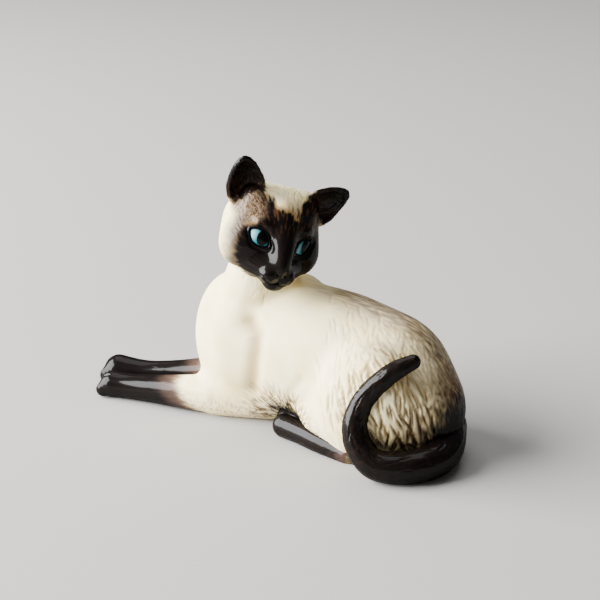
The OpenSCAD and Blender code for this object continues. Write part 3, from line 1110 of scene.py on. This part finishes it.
@dataclass
class CoatPainter:
    """Cuts the coat of the trunk, limbs and tail and sprays their colours and painted shade, in millimetres.
    """

    palette: Palette = Palette()
    near_elbow: float = -40.0
    far_elbow: float = -34.0
    leg_parting_y: float = 6.3
    smoke_at: Point = (92.0, 1.0, 7.0)
    groin_at: Point = (9.0, -13.0, 8.0)
    groin_core: Point = (10.0, -12.0, 6.0)
    groin_squeeze: Point = (0.8, 0.6, 1.0)
    fan_root: Point = (12.0, -13.0, 2.0)
    # the way that the side turned from the key light faces, where the back gets painted shade
    shade_side_way: Point = (0.53, 0.56, 0.64)
    shoulder_line: Sequence[Point] = ((-8.0, -13.5, 55.0), (-3.5, -16.0, 50.0), (-3.5, -17.0, 42.0),
                                      (-5.0, -17.0, 32.0), (-8.0, -13.0, 20.0))
    thigh_line: Sequence[Point] = ((22.0, -19.0, 34.0), (15.0, -16.0, 24.0), (13.0, -12.0, 14.0))
    seed: int = 3
    flank_hairs: Strokes = Strokes(460, 7.5, 0.60, 0.34, 0.14)
    haunch_hairs: Strokes = Strokes(230, 10.5, 0.78, 0.95, 0.10)
    belly_hairs: Strokes = Strokes(200, 6.0, 0.45, 0.3, 0.15)
    deepest: float = 1.0
    toe_cut: float = 0.8
    tail_seed: int = 21
    tail_hairs: Strokes = Strokes(260, 7.0, 0.5, 0.34, 0.16)
    tail_deepest: float = 0.4

    def hollow(self, clay: Clay, strokes: int) -> np.ndarray:
        """Finds the hollows of a form by smoothing a copy of it.

        Args:
            clay: the piece.
            strokes: how many times the copy is smoothed over.

        Returns:
            How far each vertex lies below its smoothed surroundings.
        """
        smoothed = clay.copy("smoothed").apply("SMOOTH", factor=0.5, iterations=strokes)
        gap = np.einsum("ij,ij->i", smoothed.points() - clay.points(), clay.normals())
        bpy.data.objects.remove(smoothed.object)
        return gap

    def coat_flow(self, point: np.ndarray) -> np.ndarray:
        """The coat runs down over flank and haunches and a little back, in waves.

        Args:
            point: a place on the trunk.

        Returns:
            The way the coat lies there.
        """
        x, _y, z = point
        back = ramp(0.0, 60.0, np.array([x]))[0]
        wave = 0.22 * math.sin(x * 0.55 + z * 0.22)
        return np.array([0.30 + 0.05 * back + wave, -0.1, -0.95])

    def belly_flow(self, point: np.ndarray) -> np.ndarray:
        """The belly's hair fans out from the hind feet, the throat's runs down.

        Args:
            point: a place on the belly or the throat.

        Returns:
            The way the coat lies there.
        """
        return point - np.array(self.fan_root) if point[2] < 45 else np.array([-0.3, -0.2, -1.0])

    def carve_valleys(self, clay: Clay) -> np.ndarray:
        """Presses the soft hollows behind the shoulder and before the thigh into the clay.

        Args:
            clay: the trunk.

        Returns:
            How deep they went at each vertex.
        """
        points = clay.points()
        deep = 2.3 * np.exp(-(line_distance(points, self.shoulder_line) / 4.4) ** 2)
        deep += 0.8 * np.exp(-(line_distance(points, self.thigh_line) / 2.6) ** 2)
        clay.set_points(points - clay.normals() * deep[:, None])
        return deep

    def haunch_share(self, q: np.ndarray) -> np.ndarray:
        """How far places lie in the deep fur of the haunch that the tail's curl goes round."""
        x, y, z = q.T
        return ramp(27.0, 15.0, np.hypot((x - 66.0) * 0.95, z - 29.0)) * ramp(-12.0, -24.0, y)

    def throat_share(self, q: np.ndarray) -> np.ndarray:
        """How far places lie in the ruffled fur under the chin."""
        x, y, z = q.T
        return ramp(14.0, 0.0, np.hypot(np.hypot(x + 2.0, y + 16.0), (z - 72.0) * 0.7))

    def groin_reach(self, q: np.ndarray, middle: Point) -> np.ndarray:
        """How far places lie from a middle near the hind feet, with the reach across counted less."""
        return np.linalg.norm((q - np.array(middle)) * self.groin_squeeze, axis=1)

    def dress_body(self, clay: Clay) -> None:
        """Combs and sprays the trunk and neck.

        Args:
            clay: the trunk with the neck.
        """
        valley = self.carve_valleys(clay)
        folds = self.hollow(clay, 60)
        fur = Fur(clay, self.seed)
        relief = self.comb_body(fur)
        q, normals = fur.points, fur.normals
        mix = self.palette.mix
        streak = grain(q, (1.3, 1.3, 5.0))
        cloud = grain(q, (14.0, 14.0, 14.0), 2, 4.0)
        colours = blend(mix("ivory"), mix("cream"), np.clip(0.35 + cloud * 0.8, 0.0, 1.0) * 0.6)
        # painted shade: tan in the folds found by the smoothed copy and in the hollows behind the shoulder
        # and before the thigh
        colours = blend(colours, mix("tan"), np.clip(folds * 0.34 - 0.08 + valley * 0.26, 0.0, 0.6))
        colours = self.paint_back_shade(colours, q, normals)
        colours = self.shade_haunch_grooves(colours, q, relief)
        colours = self.spray_rump(colours, q, streak)
        near = q[:, 1] < self.leg_parting_y
        colours = np.where(near[:, None], self.sleeve(colours, q, self.near_elbow),
                           self.sleeve(colours, q, self.far_elbow))
        colours = self.spray_belly(colours, q)
        throat = self.throat_share(q)
        colours = blend(colours, mix("tan"), np.clip(throat * (0.1 + 0.9 * streak), 0.0, 0.6))
        clay.paint("spray", colours)

    def comb_body(self, fur: Fur) -> np.ndarray:
        """Cuts the fur of flank, back, haunch, belly and throat.

        Args:
            fur: the trunk's surface.

        Returns:
            How far the strokes moved each vertex.
        """
        q = fur.points
        x, y, z = q.T
        haunch = self.haunch_share(q)
        flank = ramp(26.0, 46.0, x) * ramp(72.0, 58.0, z) * ramp(12.0, -6.0, y)
        spine = ramp(10.0, 40.0, x) * ramp(0.0, 14.0, y)
        groin = ramp(24.0, 8.0, self.groin_reach(q, self.groin_at))
        fur.comb(flank * (1.0 - haunch) + 0.2 * spine + 1e-6, self.coat_flow, self.flank_hairs)
        fur.comb(haunch + 1e-9, self.coat_flow, self.haunch_hairs)
        fur.comb(groin + self.throat_share(q) + 1e-9, self.belly_flow, self.belly_hairs)
        return fur.press(self.deepest)

    def paint_back_shade(self, colours: np.ndarray, q: np.ndarray, normals: np.ndarray) -> np.ndarray:
        """Paints shade on the top of the back and on the side turned from the key light, in strokes along the
        coat.

        Args:
            colours: the colours so far.
            q: places on the bench.
            normals: the outward directions there.

        Returns:
            The new colours.
        """
        x, y, _z = q.T
        swept = grain(q, (6.5, 1.2, 3.0), 2, 1.0)
        # painted shade: upward faces and faces turned from the key light are darkened in taupe and mauve
        top = ramp(0.2, 0.75, normals[:, 2]) * ramp(4.0, 20.0, y) * ramp(-10.0, 30.0, x)
        lee = ramp(0.12, 0.78, normals @ np.array(self.shade_side_way)) * ramp(4.0, 40.0, x)
        shade = np.maximum(0.85 * top, lee) * (1.0 - 0.55 * self.haunch_share(q))
        taupe, mauve = self.palette.mix("taupe"), self.palette.mix("mauve")
        colours = blend(colours, taupe, np.clip(shade * (0.75 + 0.35 * swept), 0.0, 0.9))
        return blend(colours, mauve, np.clip(shade * (0.44 + 0.40 * swept), 0.0, 0.7))

    def shade_haunch_grooves(self, colours: np.ndarray, q: np.ndarray, relief: np.ndarray) -> np.ndarray:
        """Paints shade into the grooves of the fur, darkest low on the haunch.

        Args:
            colours: the colours so far.
            q: places on the bench.
            relief: how the fur strokes moved each vertex.

        Returns:
            The new colours.
        """
        # painted shade: tan in every fur groove, umber in the deep ones low on the haunch
        colours = blend(colours, self.palette.mix("tan"), np.clip(-relief, 0.0, 0.75))
        low = ramp(40.0, 20.0, q[:, 2])
        deep = np.clip(-relief * (0.8 + 0.9 * low) - 0.3, 0.0, 0.9) * self.haunch_share(q)
        return blend(colours, self.palette.mix("umber"), deep)

    def spray_rump(self, colours: np.ndarray, q: np.ndarray, streak: np.ndarray) -> np.ndarray:
        """Darkens the rump towards the root of the tail.

        Args:
            colours: the colours so far.
            q: places on the bench.
            streak: what frays the edge.

        Returns:
            The new colours.
        """
        smoke = np.linalg.norm(q - np.array(self.smoke_at), axis=1) - 4.0 * streak
        umber, seal = self.palette.mix("umber"), self.palette.mix("seal")
        colours = blend(colours, umber, ramp(42.0, 27.0, smoke) * (0.70 + 0.3 * streak))
        return blend(colours, seal, ramp(32.0, 20.0, smoke))

    def spray_belly(self, colours: np.ndarray, q: np.ndarray) -> np.ndarray:
        """Sprays the fringe behind the elbow and the dark fan of hair before the hind feet.

        Args:
            colours: the colours so far.
            q: places on the bench.

        Returns:
            The new colours.
        """
        mix = self.palette.mix
        x, y, z = q.T
        stubble = grain(q, (0.8, 0.8, 3.5), 2, 6.0)
        fringe = ramp(15.0, 3.0, z) * ramp(-52.0, -40.0, x) * ramp(2.0, -10.0, x) * ramp(6.0, 0.0, y)
        colours = blend(colours, mix("tan"), np.clip(fringe * ramp(0.05, 0.5, stubble), 0.0, 0.6))
        along, _across, up = self.fan_root
        ray, reach = np.arctan2(z - up, x - along), np.hypot(x - along, z - up)
        hair = grain(np.stack([ray * 22.0, y * 0.1, reach / 4.5], 1), (1.0, 1.0, 1.0), 2, 2.0)
        groin = ramp(24.0, 8.0, self.groin_reach(q, self.groin_at))
        colours = blend(colours, mix("umber"), np.clip(groin * (0.45 + 1.9 * hair), 0.0, 0.9))
        core = ramp(15.0, 7.0, self.groin_reach(q, self.groin_core) - 3.0 * hair)
        return blend(colours, mix("seal"), core)

    def sleeve(self, colours: np.ndarray, q: np.ndarray, elbow: float) -> np.ndarray:
        """Sprays the dark of a foreleg, which reaches furthest back along the table.

        Args:
            colours: the colours so far.
            q: places on the bench.
            elbow: the station along the trunk where the dark ends.

        Returns:
            The new colours.
        """
        mix = self.palette.mix
        streak = grain(q, (5.0, 1.2, 1.2))
        fade = q[:, 0] - elbow + 1.8 * streak + 0.75 * q[:, 2]
        low = ramp(24.0, 19.0, q[:, 2])
        colours = blend(colours, mix("taupe"), ramp(5.0, -4.0, fade) * low)
        colours = blend(colours, mix("mauve"), ramp(2.5, -6.0, fade) * low)
        return blend(colours, mix("seal"), ramp(-3.0, -16.0, fade) * low)

    def part_toes(self, clay: Clay, paw: Row) -> np.ndarray:
        """Cuts the lines between a paw's toes.

        Args:
            clay: the foreleg.
            paw: the paw's middle and radius.

        Returns:
            How deep the cut is at each vertex, as a share of the deepest.
        """
        x, y, z, size = paw
        clay.refine(lambda p: p[:, 0] < x + size)
        points, normals = clay.points(), clay.normals()
        cut = np.zeros(len(points))
        for step in (-1.0, 0.0, 1.0):
            side = y + step * size * 0.5
            line = ((x + size * 0.1, side, z + size * 0.95), (x - size * 0.6, side, z + size * 0.75),
                    (x - size * 1.05, side, z + size * 0.1), (x - size * 1.15, side, z - size * 0.6))
            cut = np.maximum(cut, np.exp(-(line_distance(points, line) / 0.75) ** 2))
        cut = cut * ramp(x + size * 0.3, x - size * 0.4, points[:, 0])
        clay.set_points(points - normals * (self.toe_cut * cut)[:, None])
        return cut

    def dress_foreleg(self, clay: Clay, paw: Row, elbow: float) -> None:
        """Sprays a foreleg from ivory at the elbow to nearly black at the paw and parts its toes.

        Args:
            clay: the foreleg.
            paw: the paw's middle and radius.
            elbow: the station along the trunk where the dark colour ends.
        """
        cut = self.part_toes(clay, paw)
        q = clay.points()
        ground = np.tile(self.palette.mix("ivory"), (len(q), 1))
        clay.paint("spray", blend(self.sleeve(ground, q, elbow), self.palette.mix("black"), cut))

    def comb_tail(self, clay: Clay, row: Sequence[Row]) -> None:
        """Cuts the tail's hair along its bend.

        Args:
            clay: the tail.
            row: the tail's stations.
        """
        stations = np.array(curve_row(row, 4))[:, :3]
        runs = np.gradient(stations, axis=0)
        fur = Fur(clay, self.tail_seed)

        def flow(point: np.ndarray) -> np.ndarray:
            """The hair runs towards the tip."""
            run = runs[np.argmin(np.linalg.norm(stations - point, axis=1))]
            return run / np.linalg.norm(run)

        fur.comb(ramp(0.0, 30.0, fur.points[:, 2]) + 0.15, flow, self.tail_hairs)
        fur.press(self.tail_deepest)

    def dress_dark(self, clay: Clay, cream_beyond: float = math.inf) -> None:
        """Sprays the tail or a hind foot nearly black.

        Args:
            clay: the piece.
            cream_beyond: the station along the trunk past which it fades to cream, if it does.
        """
        mix = self.palette.mix
        q = clay.points()
        streak = grain(q, (2.0, 2.0, 2.0), 2, 9.0)
        colours = np.tile(mix("seal"), (len(q), 1))
        colours = blend(colours, mix("umber"), np.clip(0.12 * streak, 0.0, 0.2))
        past = q[:, 0] + 3.0 * streak - cream_beyond
        if math.isfinite(cream_beyond):
            colours = blend(colours, mix("mauve"), ramp(-12.0, 0.0, past))
            colours = blend(colours, mix("cream"), ramp(-3.0, 9.0, past))
        clay.paint("spray", colours)


@dataclass
class Cat:
    """The whole figurine: it builds one master model, cuts it into its castings and glazes them."""

    trunk: Trunk = field(default_factory=Trunk)
    limbs: Limbs = field(default_factory=Limbs)
    tail: Tail = field(default_factory=Tail)
    head: Head = field(default_factory=Head)
    neck: Sequence[Row] = ((-17, 8, 56, 19), (-13, 6, 68, 17.4), (-9.5, 4.5, 79, 16.2), (-8, 3, 90, 16.5))
    seam_at: Point = (-8, 3, 81)
    seam_axis: Point = (0.2, -0.3, 0.93)
    leg_seam_x: float = -46.0
    ear_seam_radius: float = 14.0
    vent_at: Point = (13.65, 8.0, -1.0)
    vent_radius: float = 4.0
    vent_depth: float = 21.0
    foot_fade_x: float = 50.0
    coat: CoatPainter = field(default_factory=CoatPainter)

    @property
    def shift(self) -> Vector:
        """Where the modelling bench's middle stands in the row frame, in millimetres."""
        low, high = (Vector(corner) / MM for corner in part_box("body"))
        return Vector((low.x - BODY_FRONT_X, high.y - FAR_HAUNCH_SIDE, 0.0))

    def build_master(self) -> Clay:
        """Builds one continuous model of everything but the tail and the hind feet.

        Returns:
            The model, kneaded coarse, then finer for the paws and the ears.
        """
        master = self.trunk.build()
        master.join(self.head.build_skull(), Clay("neck").add_roll(self.neck))
        master.knead(1.2, 12)
        limbs = self.limbs
        legs = Clay("legs").add_roll(limbs.near_leg).add_roll(limbs.far_leg)
        for row in (limbs.near_leg, limbs.far_leg):
            legs.add_lumps(limbs.toes(row[-1][:3], row[-1][3]), 10)
        master.join(legs, self.head.build_face())
        master.knead(0.8, 5)
        master.join(self.head.build_ear(Side.LEFT), self.head.build_ear(Side.RIGHT))
        master.knead(0.65, 3)
        return master

    def slab(self, low: Point, high: Point) -> Clay:
        """A plain block of the bench, used to cut with.

        Args:
            low: its lowest corner.
            high: its highest corner.

        Returns:
            The block.
        """
        block = Clay("block")
        middle = [(a + b) / 2 for a, b in zip(low, high)]
        size = [b - a for a, b in zip(low, high)]
        with block.editing():
            bpy.ops.mesh.primitive_cube_add(size=1.0, location=middle, scale=size)
        return block

    def rod(self, base: Point, axis: Point, radius: float, length: float) -> Clay:
        """A plain rod, used to cut with.

        Args:
            base: the middle of its lower end.
            axis: the way it runs.
            radius: its radius.
            length: its length.

        Returns:
            The rod.
        """
        block = Clay("rod")
        direction = Vector(axis).normalized()
        middle = Vector(base) + direction * length / 2
        with block.editing():
            bpy.ops.mesh.primitive_cylinder_add(
                vertices=64, radius=radius, depth=length, location=middle,
                rotation=direction.to_track_quat("Z", "Y").to_euler())
        return block

    def table(self) -> Clay:
        """What lies under the table's top, which takes a flat underside."""
        return self.slab((-150, -80, -30), (150, 80, 0))

    def neck_seam(self) -> Clay:
        """The rod that takes the head off the neck."""
        return self.rod(self.seam_at, self.seam_axis, 45.0, 95.0)

    def ear_rod(self, side: Side) -> Clay:
        """The rod that takes one ear off the head.

        Args:
            side: which ear.

        Returns:
            The rod.
        """
        root, _wide, _front, up, height = self.head.ear(side).axes()
        place = self.head.place
        return self.rod(tuple(place @ root), tuple(place.to_3x3() @ up), self.ear_seam_radius, height + 10)

    def leg_box(self, low_y: float, high_y: float) -> Clay:
        """The block that takes forelegs off the breast.

        Args:
            low_y: its near side.
            high_y: its far side.

        Returns:
            The block.
        """
        reach, height = 80.0, 21.0
        return self.slab((self.leg_seam_x - reach, low_y, -5), (self.leg_seam_x, high_y, height))

    def build(self) -> dict[str, Clay]:
        """Cuts the master model into castings and shapes the ones that are made apart.

        Returns:
            All castings by name.
        """
        master = self.build_master()
        master.cut(self.table())
        pieces: dict[str, Clay] = {}
        head = master.copy("cat_head").cut(self.neck_seam(), keep_inside=True)
        body = master.cut(self.neck_seam())
        body.object.name = "cat_body"
        for side, name in ((Side.LEFT, "cat_ear_left"), (Side.RIGHT, "cat_ear_right")):
            pieces[name] = head.copy(name).cut(self.ear_rod(side), keep_inside=True)
            head.cut(self.ear_rod(side))
        wide, middle = 60.0, self.coat.leg_parting_y
        for name, low_y, high_y in (("cat_foreleg_left", -wide, middle), ("cat_foreleg_right", middle, wide)):
            pieces[name] = body.copy(name).cut(self.leg_box(low_y, high_y), keep_inside=True)
        body.cut(self.leg_box(-wide, wide))
        body.cut(self.rod(self.vent_at, (0, 0, 1), self.vent_radius, self.vent_depth))
        pieces.update({"cat_body": body, "cat_head": head, "cat_tail": self.tail.build()})
        for name, row in (("cat_hind_foot_left", self.limbs.near_hind),
                          ("cat_hind_foot_right", self.limbs.far_hind)):
            pieces[name] = self.limbs.build_hind_foot(name, row)
        for name in ("cat_tail", "cat_hind_foot_left", "cat_hind_foot_right"):
            pieces[name].cut(self.table())
        return pieces

    def dress(self, pieces: dict[str, Clay]) -> None:
        """Cuts the fine detail into every casting and sprays its colours.

        Args:
            pieces: all castings by name.
        """
        face, coat, limbs = FacePainter(self.head), self.coat, self.limbs
        face.dress_head(pieces["cat_head"])
        face.dress_ear(pieces["cat_ear_left"], Side.LEFT)
        face.dress_ear(pieces["cat_ear_right"], Side.RIGHT)
        coat.dress_body(pieces["cat_body"])
        coat.dress_foreleg(pieces["cat_foreleg_left"], limbs.near_leg[-1], coat.near_elbow)
        coat.dress_foreleg(pieces["cat_foreleg_right"], limbs.far_leg[-1], coat.far_elbow)
        coat.comb_tail(pieces["cat_tail"], self.tail.row)
        coat.dress_dark(pieces["cat_tail"])
        coat.dress_dark(pieces["cat_hind_foot_left"], self.foot_fade_x)
        coat.dress_dark(pieces["cat_hind_foot_right"])


# ---------------------------------------------------------------- finishes


def add_node(tree: bpy.types.NodeTree, kind: str, links: dict[str, bpy.types.NodeSocket],
             **settings: object) -> bpy.types.Node:
    """Adds a node with its settings and its incoming links.

    Args:
        tree: the material's node tree.
        kind: the node's type.
        links: input names and the sockets that feed them.
        settings: the node's own properties, or inputs' fixed values by their name.

    Returns:
        The node.
    """
    made = tree.nodes.new(kind)
    for key, value in settings.items():
        if hasattr(made, key):
            setattr(made, key, value)
        else:
            made.inputs[key].default_value = value
    for key, socket in links.items():
        tree.links.new(socket, made.inputs[key])
    return made


@dataclass(frozen=True)
class PaintedGlaze:
    """Clear gloss glaze over underglaze colour sprayed on white earthenware.

    The colour lies under the glass, so it stays matt and soft while the coat over it mirrors the lights.
    """

    name: str = "clear_glaze_over_sprayed_earthenware"
    ground_roughness: float = 0.7
    ground_sheen: float = 0.02
    ground_ior: float = 1.5
    glaze_weight: float = 0.22
    glaze_roughness: float = 0.13
    glaze_ior: float = 1.52
    pool_mm: float = 7.0
    pool_strength: float = 0.12

    def make(self) -> bpy.types.Material:
        """Mixes the finish.

        Returns:
            The material.
        """
        material = bpy.data.materials.new(self.name)
        material.use_nodes = True
        tree = material.node_tree
        shader = tree.nodes["Principled BSDF"]
        # the sprayed ground is matt, and all the gloss comes from the glass over it
        shader.inputs["Roughness"].default_value = self.ground_roughness
        shader.inputs["Specular IOR Level"].default_value = self.ground_sheen
        shader.inputs["IOR"].default_value = self.ground_ior
        shader.inputs["Coat Weight"].default_value = self.glaze_weight
        shader.inputs["Coat Roughness"].default_value = self.glaze_roughness
        shader.inputs["Coat IOR"].default_value = self.glaze_ior
        spray = add_node(tree, "ShaderNodeVertexColor", {}, layer_name="spray")
        tree.links.new(spray.outputs["Color"], shader.inputs["Base Color"])
        place = add_node(tree, "ShaderNodeTexCoord", {})
        # the glaze runs and gathers a little, so reflections waver over several millimetres
        pool = add_node(tree, "ShaderNodeTexNoise", {"Vector": place.outputs["Object"]},
                        Scale=1.0 / (self.pool_mm * MM), Detail=1.0)
        bump = add_node(tree, "ShaderNodeBump", {"Height": pool.outputs["Fac"]},
                        Strength=self.pool_strength, Distance=MM)
        tree.links.new(bump.outputs["Normal"], shader.inputs["Coat Normal"])
        return material


@dataclass(frozen=True)
class MattPaper:
    """Uncoated paper on a roll, which scatters light evenly and shows no gloss."""

    name: str = "matt_grey_paper"
    colour: str = "#9b9996"
    roughness: float = 0.9

    def make(self) -> bpy.types.Material:
        """Mixes the finish.

        Returns:
            The material.
        """
        material = bpy.data.materials.new(self.name)
        material.use_nodes = True
        shader = material.node_tree.nodes["Principled BSDF"]
        shader.inputs["Base Color"].default_value = linear(self.colour)
        shader.inputs["Roughness"].default_value = self.roughness
        return material


# ---------------------------------------------------------------- stage


@dataclass(frozen=True)
class Softbox:
    """A soft square light that faces the figurine, in metres and watts."""

    name: str
    at: Point
    size: float
    power: float
    aim: Point = (0.0, 0.0, 0.06)

    def build(self) -> None:
        """Hangs the light in its place."""
        lamp = bpy.data.lights.new(self.name, "AREA")
        lamp.size = self.size
        lamp.energy = self.power
        holder = bpy.data.objects.new(self.name, lamp)
        bpy.context.scene.collection.objects.link(holder)
        holder.location = self.at
        holder.rotation_euler = (Vector(self.at) - Vector(self.aim)).to_track_quat("Z", "Y").to_euler()


@dataclass
class Studio:
    """A pale sweep of paper, soft lights and the camera."""

    azimuth: float = 27.0
    elevation: float = 20.0
    distance: float = 0.700
    lens: float = 92.4
    sensor: float = 36.0
    target: Point = (16.3, -10.0, 68.6)
    floor_size: float = 8.0
    room_colour: str = "#d8dade"
    room_strength: float = 0.23
    lights: Sequence[Softbox] = (Softbox("key_softbox", (-1.35, -0.72, 0.66), 1.7, 300.0),
                                 Softbox("top_softbox", (-0.4, 0.8, 2.2), 2.0, 40.0))

    def build(self, shift: Vector) -> None:
        """Sets the stage round the finished figurine.

        Args:
            shift: where the modelling bench's middle stands in the row frame, in millimetres.
        """
        bpy.ops.object.select_all(action="DESELECT")
        bpy.ops.mesh.primitive_plane_add(size=self.floor_size, location=(0, 0, 0))
        floor = bpy.context.object
        floor.name = "paper_floor"
        floor.data.materials.append(MattPaper().make())
        world = bpy.data.worlds.new("soft_room")
        bpy.context.scene.world = world
        world.use_nodes = True
        background = world.node_tree.nodes["Background"]
        background.inputs["Color"].default_value = linear(self.room_colour)
        background.inputs["Strength"].default_value = self.room_strength
        for light in self.lights:
            light.build()
        self.build_camera(shift)

    def build_camera(self, shift: Vector) -> None:
        """Sets up the camera.

        Args:
            shift: where the modelling bench's middle stands in the row frame, in millimetres.
        """
        a, e = math.radians(self.azimuth), math.radians(self.elevation)
        back = Vector((math.sin(a) * math.cos(e), -math.cos(a) * math.cos(e), math.sin(e)))
        data = bpy.data.cameras.new("camera")
        data.lens = self.lens
        data.sensor_width = self.sensor
        data.clip_start = 0.01
        camera = bpy.data.objects.new("camera", data)
        bpy.context.scene.collection.objects.link(camera)
        camera.location = (Vector(self.target) + shift) * MM + back * self.distance
        camera.rotation_euler = back.to_track_quat("Z", "Y").to_euler()
        bpy.context.scene.camera = camera


# ---------------------------------------------------------------- the whole


NODE_OF = {
    "cat_body": "body", "cat_head": "head", "cat_ear_left": "left_ear", "cat_ear_right": "right_ear",
    "cat_foreleg_left": "left_foreleg", "cat_foreleg_right": "right_foreleg",
    "cat_hind_foot_left": "left_hind_foot", "cat_hind_foot_right": "right_hind_foot", "cat_tail": "tail",
}


def main() -> None:
    """Builds the figurine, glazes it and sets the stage."""
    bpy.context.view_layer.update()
    cat = Cat()
    glaze = PaintedGlaze().make()
    pieces = cat.build()
    cat.dress(pieces)
    for name, clay in pieces.items():
        piece = clay.fire(cat.shift)
        piece.name = name
        piece.data.materials.clear()
        piece.data.materials.append(glaze)
        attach(piece, "root")
        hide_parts(NODE_OF[name])
        log.info("%s: %d faces", name, len(piece.data.polygons))
    Studio().build(cat.shift)


if __name__ == "__main__":
    main()
